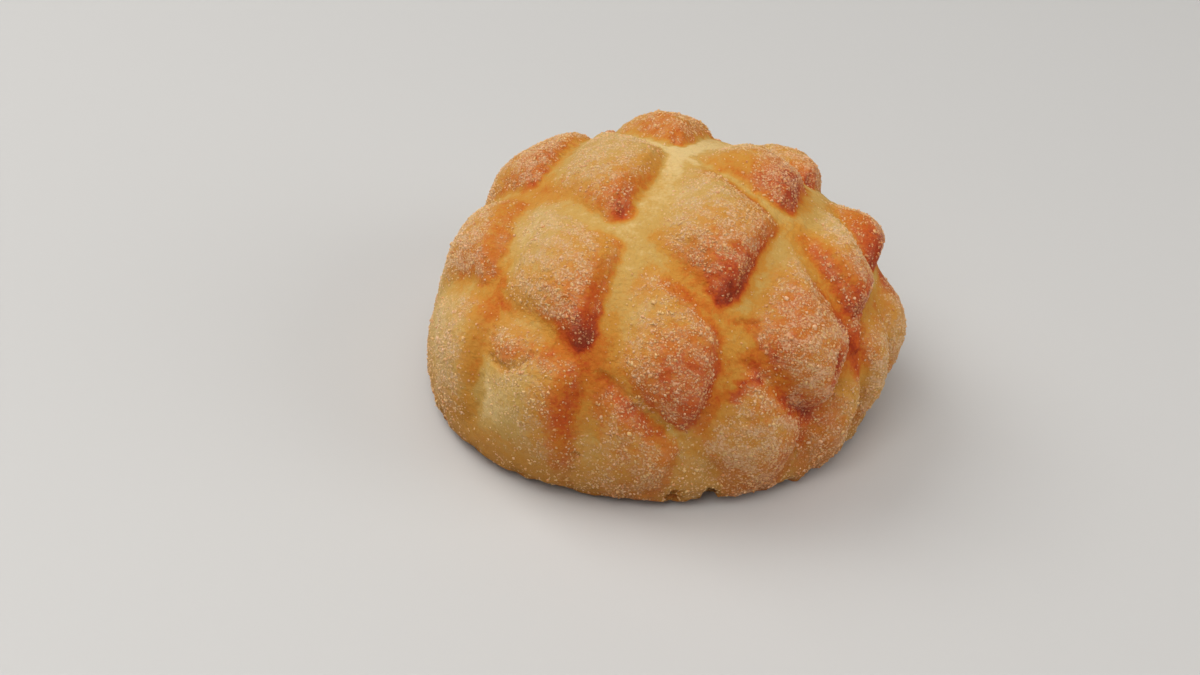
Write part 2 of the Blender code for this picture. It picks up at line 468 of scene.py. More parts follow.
def unroll(directions):
    """Arc from the top and azimuth of each direction."""
    polar = np.arccos(np.clip(directions[:, 2], -1, 1))
    arc = np.interp(polar, [0, DOME_SPAN, math.pi], [0, RIM, RIM + BASE_RADIUS])
    return arc, np.arctan2(directions[:, 1], directions[:, 0])


def on_bun(arc, azimuth, rise):
    """Points of the bun this much above the plain dome. Its lip stands a little off the floor."""
    above_lip, under_lip = ease(RIM - LIP_REACH, RIM, arc), 1 - ease(RIM, RIM + LIP_REACH, arc)
    radius = np.where(arc < RIM, np.interp(arc, ARCS, RADII), RIM + BASE_RADIUS - arc)
    height = np.interp(arc, ARCS, HEIGHTS) + LIP_LIFT * above_lip * under_lip
    rise = rise * under_lip
    radius -= rise * np.interp(arc, ARCS, np.gradient(HEIGHTS, ARCS))
    height += rise * np.interp(arc, ARCS, np.gradient(RADII, ARCS))
    radius *= 1 + sum(a * np.cos(turns * azimuth) + b * np.sin(turns * azimuth) for turns, a, b in PLAN_WAVES)
    points = np.stack([radius * np.cos(azimuth) + LEAN * height, radius * np.sin(azimuth), height], axis=1)
    return points + np.array(DOME_AXIS)


crust, directions = cube_skin()
arc, azimuth = unroll(directions)
flat_u, flat_v = arc * np.cos(azimuth), arc * np.sin(azimuth)
sheet = np.stack([flat_u, flat_v], axis=1)
place = lattice(flat_u, flat_v)
print("the skin has", len(crust.data.polygons), "faces")

# %% [markdown]
# ### Cracks and dents
#
# A lattice alone looks stamped. Where the swelling crumb pulled hardest, the crust tore: it split along some
# edges, one low ridge was pushed up, and small bumps and dents mark it. The lip is ragged and has two notches.
# All are listed one by one, as streaks and spots on the sheet.


# %% Name waves, bands and spots on the sheet
# How many waves a mottle has, and how long they are for its size
MOTTLE_WAVES, MOTTLE_SIZES = 18, (0.7, 1.6)


def near(distance, middle, width):
    """1 at the middle and falling off to both sides over the width."""
    return np.exp(-(((distance - middle) / width) ** 2))


def mottle(places, size, seed):
    """A wavy field with lumps of about this size, mostly between -1 and 1, in two or three dimensions."""
    rng = np.random.default_rng(seed)
    headings = rng.normal(size=(MOTTLE_WAVES, places.shape[1]))
    headings /= np.linalg.norm(headings, axis=1)[:, None]
    turns = headings * (2 * math.pi / size / rng.uniform(*MOTTLE_SIZES, (MOTTLE_WAVES, 1)))
    starts = rng.uniform(0, 2 * math.pi, MOTTLE_WAVES)
    return np.sin(places @ turns.T + starts).sum(axis=1) / math.sqrt(MOTTLE_WAVES)


def spots(table, u, v):
    """Sum of soft round spots: u and v of the middle and the reach in mm, and the gain."""
    u, v = u / MM, v / MM
    return sum(gain * np.exp(-((u - x) ** 2 + (v - y) ** 2) / reach**2) for x, y, reach, gain in table)


def streaks(table, u, v):
    """Strongest of soft streaks: points along each streak and its half width, in mm, and its gain."""
    strongest = np.zeros(len(u))
    here = np.stack([u, v], axis=1) / MM
    for points, width, gain in table:
        for start, end in zip(points, points[1:]):
            start, run = np.array(start), np.subtract(end, start)
            share = np.clip((here - start) @ run / (run @ run), 0, 1)
            off = np.linalg.norm(here - start - share[:, None] * run, axis=1)
            strongest = np.maximum(strongest, gain * near(off, 0, width))
    return strongest


print("one width from its middle, a band keeps", round(float(near(1, 0, 1)), 2), "of its strength")


# %% Crack and dent the skin
# Points along each crack, its half width and its depth, in mm
CRACKS = (
    (((-47, -45), (-44, -48), (-40, -50), (-37, -50), (-33, -48.5)), 0.9, 1.0),
    (((-64, -54), (-61, -55.5), (-58, -55.6), (-54, -53), (-51, -48)), 0.8, 0.3),
    (((14, -42.6), (17, -41.4), (19.5, -41.8)), 0.6, 0.6),
    (((20, -51.5), (27, -53.5), (32, -55.5), (38, -57), (47, -56.5)), 1.6, 0.9),
    (((-18, -56.5), (-13, -60.5), (-8, -65), (2, -71)), 1.0, 0.8),
    (((40.9, -41.6), (41.3, -44.4)), 1.5, 1.1),
    (((49, -45), (50, -48.5)), 0.8, 0.9),
    (((-25.8, -76.5), (-24.6, -76.4)), 0.8, 0.9),
    (((-26.8, -80), (-26, -81)), 0.8, 0.8),
    (((-6, -46.8), (-4.5, -45.6)), 0.5, 0.5),
    (((25.2, -85.6), (26.8, -87.8)), 1.1, 2.6),
    (((26.6, -87.6), (32.5, -97.0)), 2.1, 8.0),
    (((-27.5, -83), (-28.5, -88)), 0.7, 0.8),
    (((11.4, -88.5), (13.0, -97.0)), 1.3, 3.5),
)
# Points along each ridge, its half width and its height, in mm
RIDGES = ((((45, -28), (47.5, -31), (48.5, -34)), 2.0, 1.3),)
# Middle and reach of each bump or dent, and its height, in mm
BUMPS = (
    (-41, -44, 4.5, 1.3),
    (-33, -49, 1.4, 0.8),
    (22.5, -81, 3.0, -1.0),
    (62, -69, 3.0, 1.0),
    (68, -34, 6.0, 1.0),
    (12, -88, 5.0, 0.7),
    (10.5, 51, 6.0, -1.2),
)
# How large and how far the streaks' edges waver
TORN_SIZE, TORN_REACH = 2.6 * MM, 0.5 * MM
TORN_SEED_U, TORN_SEED_V = 51, 52
# Where the lip grows ragged, how long its waves are, and how high they are in mm
LIP_START, LIP_END = 84 * MM, RIM - 2 * MM
LIP_WAVE, LIP_HEIGHT, LIP_SEED = 7 * MM, 0.45, 41

torn_u = flat_u + TORN_REACH * mottle(sheet, TORN_SIZE, TORN_SEED_U)
torn_v = flat_v + TORN_REACH * mottle(sheet, TORN_SIZE, TORN_SEED_V)
cracks = streaks(CRACKS, torn_u, torn_v)
lip = LIP_HEIGHT * mottle(sheet, LIP_WAVE, LIP_SEED) * ease(LIP_START, LIP_END, arc)
ridges = streaks(RIDGES, torn_u, torn_v)
height = place.height + (spots(BUMPS, flat_u, flat_v) + ridges + lip - cracks) * MM
crust.data.vertices.foreach_set("co", on_bun(arc, azimuth, height).astype(np.float32).ravel())
crust.data.update()
crust.data.shade_smooth()
print(len(CRACKS), "cracks and notches, the deepest", round(float(cracks.max()), 1), "mm")

# %% [markdown]
# ## How brown, how sugared
#
# Browning follows the heat. A score's floor opened late and stays pale, but not where two tips shade it and
# fat gathers. The face to the right of each diamond and its lowest tip caught the most heat. No two diamonds
# are alike, so a small table says how much each of them took. Some of the darkening is painted shade: the band
# above the lip, the cracks and the lip's notches, and a few spots under overhangs. A few paler spots are
# painted light, in shaded hollows and on faces turned from the window. Sugar was pressed on before the scores
# opened, so it lies on the diamonds and hardly in the scores, in clumps.


# %% Measure from a diamond's wavering edges
# How far the edges waver in mm, how long the waves are, and their seed
WAVERS = ((0.35, 9 * MM, 21), (0.40, 3.6 * MM, 22))
# How large the sugar's clumps and the rear's uneven patches are, and where the rear begins
HEAP_SIZE, HEAP_SEED = 3.4 * MM, 31
UNEVEN_SIZE, UNEVEN_SEED = 24 * MM, 61
REAR_START, REAR_END = -10 * MM, 20 * MM


class Sides(NamedTuple):
    """Distances from a diamond's four edges in mm, wavering a little, because nothing is cut straight."""

    left: np.ndarray
    right: np.ndarray
    upper: np.ndarray
    lower: np.ndarray


def wavering_sides(place, sheet):
    waver = sum(reach * mottle(sheet, size, seed) for reach, size, seed in WAVERS)
    return Sides(*(edge / MM + waver for edge in (place.left, place.right, place.upper, place.lower)))


sides = wavering_sides(place, sheet)
clumps = mottle(on_bun(arc, azimuth, height), HEAP_SIZE, HEAP_SEED)
rear = ease(REAR_START, REAR_END, flat_v)
uneven = mottle(sheet, UNEVEN_SIZE, UNEVEN_SEED)
print("the waves range from", round(float(clumps.min()), 1), "to", round(float(clumps.max()), 1))


# %% Say how much heat each diamond took
class Heat(NamedTuple):
    """How brown a diamond's body, right face, upper face and tip are, how wide the right face's band is, and
    how thick the diamond's sugar."""

    body: float = 1.0
    flank: float = 0.8
    brow: float = 0.5
    tip: float = 0.4
    band: float = 3.4
    sugar: float = 1.0


# By column, from the left, and row, from the back
HEATS = {
    (1, 1): Heat(body=1.1, flank=0.3, brow=0.2, tip=0.0, sugar=0.7),
    (1, 2): Heat(body=0.6, flank=0.55, brow=0.1, tip=0.45, band=4.8, sugar=0.9),
    (2, 1): Heat(body=1.9, flank=0.2, brow=0.6, tip=0.45, sugar=1.2),
    (2, 2): Heat(body=1.3, flank=0.9, brow=0.3, tip=0.7, band=3.6),
    (1, 3): Heat(body=1.2, flank=0.38, brow=0.1, tip=0.8, band=4.6, sugar=1.0),
    (2, 3): Heat(body=1.7, flank=0.5, brow=0.3, tip=0.05, band=3.4, sugar=0.9),
    (3, 2): Heat(body=1.2, flank=0.1, brow=0.2, tip=0.1, sugar=1.4),
    (3, 1): Heat(body=1.3, flank=0.5, brow=0.25, tip=0.2, sugar=1.4),
    (0, 3): Heat(body=1.0, flank=0.3, brow=0.4, tip=0.0, sugar=1.3),
    (0, 2): Heat(body=1.1, flank=0.3, brow=0.3, tip=0.0, sugar=1.3),
    (0, 4): Heat(body=0.6, flank=0.5, brow=0.3, tip=0.0),
    (1, 4): Heat(body=0.4, flank=1.6, brow=0.3, tip=0.0, band=7.0, sugar=0.9),
    (2, 4): Heat(body=1.1, flank=0.2, brow=0.9, tip=0.0, sugar=0.9),
    (3, 3): Heat(body=1.7, flank=0.3, brow=0.7, tip=0.0, sugar=1.3),
    (3, 0): Heat(body=1.1, flank=1.0, brow=0.7, tip=0.2, band=5.0, sugar=1.2),
    (4, 1): Heat(body=0.7, flank=0.6, brow=0.5, tip=0.2, sugar=1.3),
}
columns, rows = len(LONG_SCORES) - 1, len(CROSS_SCORES) - 1
heat_table = np.array(
    [[HEATS.get((column, row), Heat()) for row in range(rows)] for column in range(columns)]
)
heat = Heat(*heat_table[place.column, place.row].T)
print("a named heat for", len(HEATS), "of", columns * rows, "diamonds")

# %% Name where the heat was stronger or weaker, and where shade and light are painted
# Where scores' floors took more heat, and where the crust did: u and v of the middle, reach and gain. A few
# are painted shade under an overhang, and a few painted light in hollows and on faces turned from the window.
FLOOR_SPOTS = (
    (-19, -53, 11, 0.18),
    (-43, 4, 13, 0.15),
    (-43, -30, 9, 0.36),
    (29, 6, 9, 0.03),
    (14, -57, 10, 0.23),
    # Painted shadow under the overhang of the diamond above
    (1, -32, 6, 0.16),
    (-25, -66, 9, 0.16),
    (48, -34, 9, 0.46),
    (47, 6, 9, 0.35),
    (-28, 20, 9, 0.16),
    (54, -62, 16, 0.25),
    (60, -2, 6, 0.34),
    (-1, 12, 12, -0.06),
    (55, -19, 6, 0.22),
    (57, -27, 6, 0.05),
    (46, -54, 9, 0.34),
    (66, -10, 8, 0.12),
    (14, -67, 7, 0.34),
    (-25, -50, 8, 0.24),
    (25, -14, 6, 0.12),
    (25, 1, 5, 0.30),
    (65, -2, 5, 0.18),
    (-8, -68, 6, 0.10),
    (-31, 1, 7, 0.14),
    (-62, -8, 6, 0.20),
    (-56, -16, 5, 0.15),
    # Painted light in a hollow that lies in shade
    (-56, -48, 7, -0.07),
)
CRUST_SPOTS = (
    (8, -66, 16, 0.03),
    (-3, -50, 7, 0.12),
    (46, -30, 11, 0.14),
    (47, 2, 9, 0.14),
    (-40, -44, 6, 0.18),
    (-14, -65, 7, 0.23),
    (-4, -74, 8, 0.10),
    (27, -33, 9, 0.31),
    (-8, 25, 7, 0.07),
    (1, 24, 5, -0.10),
    (-14, -12, 4, 0.15),
    (-20, -14, 3, -0.14),
    (-10.5, -14, 2.4, -0.12),
    (24, -44, 7, 0.17),
    (-64, -54, 8, -0.05),
    (-38, -30, 10, -0.07),
    (71, 6, 8, 0.20),
    (-10, -73, 9, 0.08),
    (25, -47, 4, 0.16),
    (58, -4, 7.5, 0.34),
    (3, -1, 5, 0.14),
    (-9, -35, 4.5, 0.16),
    (8, -31, 7, 0.10),
    (23, -55, 3, 0.06),
    (53, -19, 6, 0.11),
    (44, -20, 4, 0.08),
    (-27, -60, 4, 0.09),
    (-11, -67, 3, 0.06),
    (51, -52, 8, 0.16),
    # Painted light on a face turned from the window
    (64, -18, 7, -0.08),
    (9, 7, 7, -0.04),
    (12, 2, 4, -0.12),
    (12, -8, 4, 0.06),
    (0, -57, 5, 0.13),
    # Painted light on a face in shade
    (-44, -62, 9, -0.03),
    (27, -61, 5, 0.17),
    (34, -80, 9, -0.12),
    (-58, -62, 13, -0.05),
    (54, -37, 4, 0.24),
    (21, 0, 6, 0.12),
    (39, -20, 6, 0.08),
    (42, -42, 5, 0.04),
)
# Browned edges that follow no score, and the lip's notches darkened inside as painted shade: points along them
# in mm, their half width and gain
BROWN_AND_SHADOW_STREAKS = (
    (((-4, -36), (4, -39), (12, -42), (18, -42)), 2.6, 0.22),
    (((20, -49), (26, -51), (30, -53)), 2.2, 0.26),
    (((30, -53.5), (34, -55.5), (38, -56.5)), 2.2, 0.33),
    (((38.5, -56), (46, -56.5)), 1.8, 0.34),
    (((18.5, -60), (20, -56), (23, -54)), 1.6, 0.45),
    (((-46, -42), (-42, -46), (-37, -47), (-31, -50)), 2.4, 0.20),
    (((-19, -58), (-14, -61), (-8, -66), (0, -71)), 2.4, 0.07),
    (((-18, -58), (-18, -66), (-17, -73)), 1.8, 0.15),
    (((27.5, -14), (32.5, -23), (41, -32), (51.5, -37)), 3.3, 0.22),
    (((41, -41), (41.4, -44.6)), 1.8, 0.24),
    (((-27.5, -68), (-28.5, -76), (-30, -84)), 4.6, 0.08),
    # The lip's two notches, darkened inside as painted shade
    (((26.8, -87.6), (32.5, -97)), 1.5, 0.80),
    (((11.6, -89), (13, -97)), 1.2, 0.30),
    (((43, -31), (45, -35), (50, -38.5)), 2.0, 0.16),
    (((50, -30), (52, -34)), 1.6, 0.16),
    (((17.5, -18), (17, -24), (16, -29), (15, -34)), 2.0, 0.20),
    (((-8, -22), (-4, -27), (0, -31)), 2.6, 0.10),
    (((3, 5), (8, -2), (16, -9)), 1.8, 0.14),
    (((-36, 5), (-28, -3), (-20, -11)), 2.2, 0.10),
)
print(len(FLOOR_SPOTS) + len(CRUST_SPOTS), "spots and", len(BROWN_AND_SHADOW_STREAKS), "browned edges")

# %% Work out how brown the crust is
# The most that a diamond's body browns, away from its edges and its tip
MOST_BODY = 0.42


def browning(sides, place, heat):
    """0 for dough that stayed pale and 1 for the darkest crust, with painted shade added above the lip and in
    the cracks and notches.
    """
    off_floor = ease(-0.9, 1.6, np.minimum.reduce(sides))
    across, down = place.across, place.down
    # The scores' floors, and each diamond's body, which browns to its right and towards its tip
    floor = 0.06 + 0.05 * ease(0, 50 * MM, -flat_v) + spots(FLOOR_SPOTS, flat_u, flat_v)
    body = np.minimum(heat.body * (0.02 + 0.32 * ease(0.15, 1.0, 0.6 * across + 0.4 * down)), MOST_BODY)
    # The faces to the right and above, and the tip, in a tight spot and a wide one
    flank = heat.flank * near(sides.right, 1.4, heat.band) * (0.4 + 0.6 * ease(0.1, 0.8, down))
    brow = heat.brow * near(sides.upper, 1.2, 3.4) * (0.55 + 0.45 * ease(0.0, 0.6, across))
    high = 1 - 0.8 * ease(66 * MM, 80 * MM, arc)
    from_tip = np.hypot(np.maximum(sides.right - 2.0, 0), np.maximum(sides.lower - 1.6, 0))
    tip = 0.45 * near(from_tip, 0, 3.4) + 0.55 * near(from_tip, 0, 8.0)
    # All that browns the diamonds, and what browns them and the scores alike
    crust = body + 0.30 * (flank + brow) * high + spots(CRUST_SPOTS, flat_u, flat_v)
    streak = streaks(BROWN_AND_SHADOW_STREAKS, torn_u, torn_v)
    charred = 0.50 * heat.tip * tip * off_floor * high
    # Darker towards the base: the band above the lip is painted shade, and the last few mm before the rim are
    # partly browned on the tray and partly painted shade.
    low = 0.12 * ease(72 * MM, 90 * MM, arc) + 0.30 * ease(RIM - 5 * MM, RIM, arc)
    low += 0.10 * rear * ease(50 * MM, 70 * MM, arc) * (1 + uneven)
    baked = np.clip(floor + (crust - 0.6 * floor) * off_floor, 0, 1)
    # The cracks and notches are darkened by their depth, as painted shade.
    return baked + charred + streak + low + 0.06 * cracks


brown = browning(sides, place, heat)
print("mean browning", round(float(brown.mean()), 2))

# %% Name where the sugar lies thick or is gone
# Places that the sugar missed or fell off, as spots
BARE_SPOTS = (
    (8, 7, 7, 0.9),
    (-43, 0, 4, 0.8),
    (55, -18, 5, 0.8),
    (-60, -24, 6, 0.3),
    (10, -34, 3, 0.8),
    (-24, -47, 3, 0.5),
    (52, -38, 4, 0.9),
    (-46, -60, 10, 0.7),
    (-62, -60, 10, 0.7),
    (-42, -78, 11, 0.6),
    (-47, 20, 5, 0.8),
    (11, 3, 4, 0.8),
    (49, -35, 4, 0.8),
)
# Places where it lies thicker than the diamond's own sugar
SUGARED_SPOTS = (
    (-44, -41, 4, 0.9),
    (-39, -45, 4, 0.9),
    (-8.5, -36, 3.5, 0.9),
    (-5, -42, 4, 0.7),
    (4, -3, 4.5, 0.9),
    (-36, -7, 5, 0.6),
    (-37, -13, 5, 0.5),
    (-15, -64, 4, 0.7),
    (-8, -66, 4, 0.5),
    (-10, -73, 8, 0.7),
    (7, -67, 5, 0.9),
    (24, -55.5, 3.5, 1.2),
    (37, -54.8, 2.8, 1.7),
    (42, -54.5, 2.8, 1.4),
    (-35, -60, 5, 1.0),
    (-34, -69, 5, 0.9),
    (45.5, -29.5, 2.2, 1.0),
    (61, -14, 5, 0.9),
    (63, -24, 6, 0.9),
    (51, -52, 6, 0.8),
)
# Edges that it missed, as streaks
BARE_STREAKS = (
    (((-50, -32), (-51.5, -42), (-54, -50), (-58, -54)), 3.2, 0.95),
    (((-27, -56), (-27.5, -64), (-28, -72)), 3.0, 0.9),
    (((-9.5, 8), (-10.5, 0), (-11.5, -8)), 2.8, 0.8),
    (((40.8, -41), (41.4, -45)), 1.6, 0.9),
    (((30, -12), (34, -18), (41, -24.5)), 2.4, 0.9),
    (((42, 7), (45, 0), (50, -5)), 2.2, 0.9),
    (((9, -3), (13, -7), (18, -10)), 2.0, 0.7),
    (((-46, 4), (-45.5, -4), (-46, -12), (-46, -18)), 2.2, 0.9),
    (((-36, 5), (-28, -3), (-20, -11)), 2.0, 0.6),
    (((-18.5, -21), (-19, -30), (-21.5, -42)), 1.6, 0.9),
)
print(len(BARE_SPOTS) + len(BARE_STREAKS), "bare places and", len(SUGARED_SPOTS), "thick ones")


# %% Work out how thick the sugar lies
def frosting(sides):
    """How thick the sugar lies on the old skin of the biscuit sheet: thickest towards the right and the tip,
    thin on the faces that the swelling bun opened, and none in the scores."""
    thick = 0.6 + 0.4 * ease(0.05, 0.75, 0.6 * place.across + 0.4 * place.down)
    left, lower = ease(0.0, 6.0, sides.left), ease(0.2, 2.6, sides.lower)
    right = ease(0.2, 1.6, sides.right) * (0.25 + 0.75 * ease(1.6, 4.0, sides.right + 2 * place.down))
    upper = ease(0.5, 2.0, sides.upper) * ease(2.2, 5.0, sides.upper + 3.0 * (1 - heat.brow))
    low_start, low_end = 66 * MM - 10 * MM * rear, 82 * MM - 8 * MM * rear
    low = (0.50 + 0.15 * rear * (1 + uneven)) * ease(low_start, low_end, arc)
    # How much of it stayed on
    bare = np.clip(1 - spots(BARE_SPOTS, flat_u, flat_v) - streaks(BARE_STREAKS, flat_u, flat_v), 0, 1)
    cover = np.maximum(heat.sugar * thick * left * right * upper * lower, low)
    cover = np.maximum(cover, spots(SUGARED_SPOTS, flat_u, flat_v))
    return cover * bare * (1 - ease(RIM - 5 * MM, RIM - 1.5 * MM, arc))


def carry(piece, name, values):
    """Gives a mesh a mask, one value to a point."""
    mask = piece.data.attributes.new(name, "FLOAT", "POINT")
    mask.data.foreach_set("value", values.astype(np.float32))


frost = frosting(sides)
thin_dust = 0.012 + 0.06 * ease(0.1, 0.5, place.risen)
dusting = np.maximum(frost * (0.35 + 0.65 * ease(-1.1, 0.9, clumps)), thin_dust) * (arc < RIM - 1.5 * MM)
carry(crust, "brown", brown)
carry(crust, "frost", frost)
carry(crust, "clump", ease(-1.2, 1.0, clumps))
# The underside takes its own colour, and the band above the lip is darkened towards it as painted shade.
painted_rim_shade = 0.6 * ease(RIM - 20 * MM, RIM - 1 * MM, arc)
carry(crust, "under", np.where(arc > RIM - 0.5 * MM, 1.0, painted_rim_shade))
print("mean sugaring", round(float(dusting.mean()), 2))

# %% [markdown]
# ## Crumb
#
# Biscuit dough is short and grainy: its surface is lumpy at a millimetre and pitted below that. The lumps
# are real shape here. A Displace modifier moves the points along their normals by a cloud texture, once for
# the lumps and once for the grain, and is applied. A vertex group keeps the flat base out of it and makes it
# weaker where the crust is bare of sugar.

# %% Roughen the crust
LUMP_SIZE, LUMP_HEIGHT = 3.2 * MM, 0.7 * MM
GRAIN_SIZE, GRAIN_HEIGHT = 1.1 * MM, 0.45 * MM
LEVELS = 10


def roughen(piece, name, size, height, group):
    texture = bpy.data.textures.new(name, "CLOUDS")
    texture.noise_scale, texture.noise_depth = size, 2
    modifier = piece.modifiers.new(name, "DISPLACE")
    modifier.texture, modifier.texture_coords = texture, "LOCAL"
    modifier.strength, modifier.mid_level, modifier.vertex_group = height, 0.5, group.name
    bpy.ops.object.modifier_apply(modifier=name)


only_select(crust)
above = crust.vertex_groups.new(name="above")
roughness = np.clip((RIM - 0.5 * MM - arc) / (3 * MM), 0, 1) * (0.3 + 0.7 * frost)
for level in range(1, LEVELS + 1):
    chosen = np.flatnonzero(np.ceil(roughness * LEVELS) == level)
    above.add(chosen.tolist(), level / LEVELS, "REPLACE")
roughen(crust, "lumps", LUMP_SIZE, LUMP_HEIGHT, above)
roughen(crust, "grain", GRAIN_SIZE, GRAIN_HEIGHT, above)
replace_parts(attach(crust, "root"), "melon_bread")
print("lumps of", round(LUMP_HEIGHT / MM, 2), "mm and grain of", round(GRAIN_HEIGHT / MM, 2), "mm")

# %% [markdown]
# ## The crust's colour
#
# Biscuit crust browns through a fixed row of colours: butter yellow, straw, orange, chestnut and a dark
# red brown. The browning mask picks a place in that row, and noise at three sizes breaks it up, because
# no oven is even. Fine sugar veils the crust and sits on it in crystals, so a second, paler row of colours
# shows where the sugar's mask and a finer noise are high.

# %% Bake the crust
CRUST_ROW = (
    (0.00, (0.70, 0.500, 0.215, 1)),
    (0.10, (0.57, 0.335, 0.082, 1)),
    (0.24, (0.57, 0.250, 0.032, 1)),
    (0.42, (0.55, 0.155, 0.012, 1)),
    (0.60, (0.50, 0.080, 0.006, 1)),
    (0.80, (0.37, 0.040, 0.005, 1)),
    (1.05, (0.25, 0.022, 0.004, 1)),
)
FROST_ROW = (
    (0.03, (0.78, 0.570, 0.385, 1)),
    (0.25, (0.76, 0.465, 0.258, 1)),
    (0.50, (0.71, 0.355, 0.180, 1)),
    (0.90, (0.56, 0.220, 0.112, 1)),
)
UNDERSIDE_AND_SHADE_COLOUR = (0.34, 0.145, 0.026, 1)
PATCH_SIZE, BLOT_SIZE, SPECK_SIZE = 9 * MM, 2.5 * MM, 0.7 * MM
SUGAR_HEAP_SIZE, CRYSTAL_SIZE = 1.6 * MM, 0.55 * MM
GRIT_SIZE, WRINKLE_SIZE, BUMP_HEIGHT = 0.30 * MM, 1.3 * MM, 0.24 * MM


def row_of_colours(recipe, share, row):
    """The colour that a row of colours has at this share."""
    (_, colour), *rest = row
    last = row[0][0]
    for stop, after in rest:
        colour = recipe.mix(recipe.ease(last, stop, share), colour, after)
        last = stop
    return colour


def bake_crust():
    recipe = Recipe(
        "baked_crust", Roughness=0.6, Specular_IOR_Level=0.2, Subsurface_Weight=0.12, Subsurface_Scale=0.002
    )
    recipe.shader.inputs["Subsurface Radius"].default_value = (1.0, 0.5, 0.2)
    brown, frost, clump = recipe.mask("brown"), recipe.mask("frost"), recipe.mask("clump")
    patches = recipe.grain(PATCH_SIZE) - 0.5
    blots = recipe.grain(BLOT_SIZE) - 0.5
    specks = recipe.grain(SPECK_SIZE) - 0.5
    share = brown + (brown + 0.10) * (patches * 0.6 + blots * 0.65 + specks * 0.65)
    dough = row_of_colours(recipe, share, CRUST_ROW)
    heap = recipe.ease(0.30, 0.66, clump * 0.35 + recipe.grain(SUGAR_HEAP_SIZE, detail=3) * 0.65)
    least = 0.68 - frost * (heap * 0.13 + 0.07)
    crystals = recipe.ease(least, least + 0.12, recipe.grain(CRYSTAL_SIZE, detail=3))
    veil = frost * (heap * 0.22 + 0.05)
    colour = recipe.mix(crystals * 0.8 + veil, dough, row_of_colours(recipe, share, FROST_ROW))
    # The underside's own colour, and painted shade on the band just above the lip.
    colour = recipe.mix(recipe.mask("under"), colour, UNDERSIDE_AND_SHADE_COLOUR)
    grit = recipe.grain(GRIT_SIZE, detail=4)
    wrinkles = recipe.grain(WRINKLE_SIZE, detail=4)
    normal = recipe.bump(grit * 0.7 + wrinkles * 3 + crystals * 0.6, BUMP_HEIGHT, 0.9)
    return recipe.feed(Base_Color=colour, Normal=normal, Roughness=0.72 - frost * 0.2)


crust.data.materials.clear()
crust.data.materials.append(bake_crust())
print("the crust has", len(CRUST_ROW), "colours in its row")

# %% [markdown]
# ## Sugar
#
# The grains are what makes the crust sparkle. Granulated sugar is a heap of small clear blocks about half
# a millimetre long. Each kind is one piece: a block is modelled once, then set down thousands of times on
# random places of the crust, more of them where the dusting is thick, partly sunk and turned any way.


# %% Model a grain
def take_apart(grain):
    """A modelled grain's points and triangles. The operator that makes the triangles may list them in another
    order on another run, so each starts at its lowest point here, and they are sorted."""
    points = np.array([corner.co for corner in grain.data.vertices])
    faces = np.array([np.roll(face.vertices, -np.argmin(face.vertices)) for face in grain.data.polygons])
    bpy.data.objects.remove(grain)
    return points, faces[np.lexsort(faces.T[::-1])]


def sugar_block(name, bevel):
    """One grain about 1 unit long, as points and triangles."""
    bpy.ops.object.select_all(action="DESELECT")
    bpy.ops.mesh.primitive_cube_add(size=1)
    grain = bpy.context.object
    grain.name = name
    bpy.ops.object.mode_set(mode="EDIT")
    bpy.ops.mesh.select_all(action="SELECT")
    bpy.ops.transform.resize(value=(1.0, 0.78, 0.62))
    if bevel:
        bpy.ops.mesh.bevel(offset=bevel, affect="VERTICES")
    bpy.ops.mesh.quads_convert_to_tris()
    bpy.ops.object.mode_set(mode="OBJECT")
    return take_apart(grain)


def sugar_speck(name):
    """A speck of broken sugar about 1 unit long: two points with a squeezed ring of four between them."""
    bpy.ops.object.select_all(action="DESELECT")
    bpy.ops.mesh.primitive_ico_sphere_add(subdivisions=1, radius=0.5)
    speck = bpy.context.object
    speck.name = name
    bpy.ops.object.mode_set(mode="EDIT")
    bpy.ops.mesh.select_all(action="SELECT")
    bpy.ops.mesh.decimate(ratio=0.4)
    bpy.ops.transform.resize(value=(1.0, 0.8, 0.6))
    bpy.ops.mesh.quads_convert_to_tris()
    bpy.ops.object.mode_set(mode="OBJECT")
    return take_apart(speck)


coarse_block = sugar_block("coarse_block", 0.2)
plain_block = sugar_block("plain_block", 0)
dust_block = sugar_speck("dust_block")
print("a coarse grain has", len(coarse_block[1]), "triangles and a plain one", len(plain_block[1]))


# %% Choose places on the crust
class Skin:
    """The crust's triangles, ready for choosing places on them."""

    def __init__(self, piece, dusting, brown):
        mesh = piece.data
        mesh.calc_loop_triangles()
        self.corners = np.empty(len(mesh.loop_triangles) * 3, np.int32)
        mesh.loop_triangles.foreach_get("vertices", self.corners)
        self.corners = self.corners.reshape(-1, 3)
        points = np.empty(len(mesh.vertices) * 3, np.float32)
        mesh.vertices.foreach_get("co", points)
        self.points = points.reshape(-1, 3).astype(float)
        one, two, three = (self.points[self.corners[:, k]] for k in range(3))
        cross = np.cross(two - one, three - one)
        size = np.linalg.norm(cross, axis=1)
        self.normals = cross / np.maximum(size, 1e-12)[:, None]
        self.areas = size / 2
        self.dusting, self.brown = dusting, brown

    def choose(self, rng, count, power):
        """Random places where the dusting is thick: point, normal and browning of each."""
        weight = self.areas * self.dusting[self.corners].mean(axis=1) ** power
        chosen = rng.choice(len(weight), count, p=weight / weight.sum())
        shares = rng.dirichlet((1, 1, 1), count)
        corners = self.corners[chosen]
        places = (self.points[corners] * shares[:, :, None]).sum(axis=1)
        return places, self.normals[chosen], (self.brown[corners] * shares).sum(axis=1)


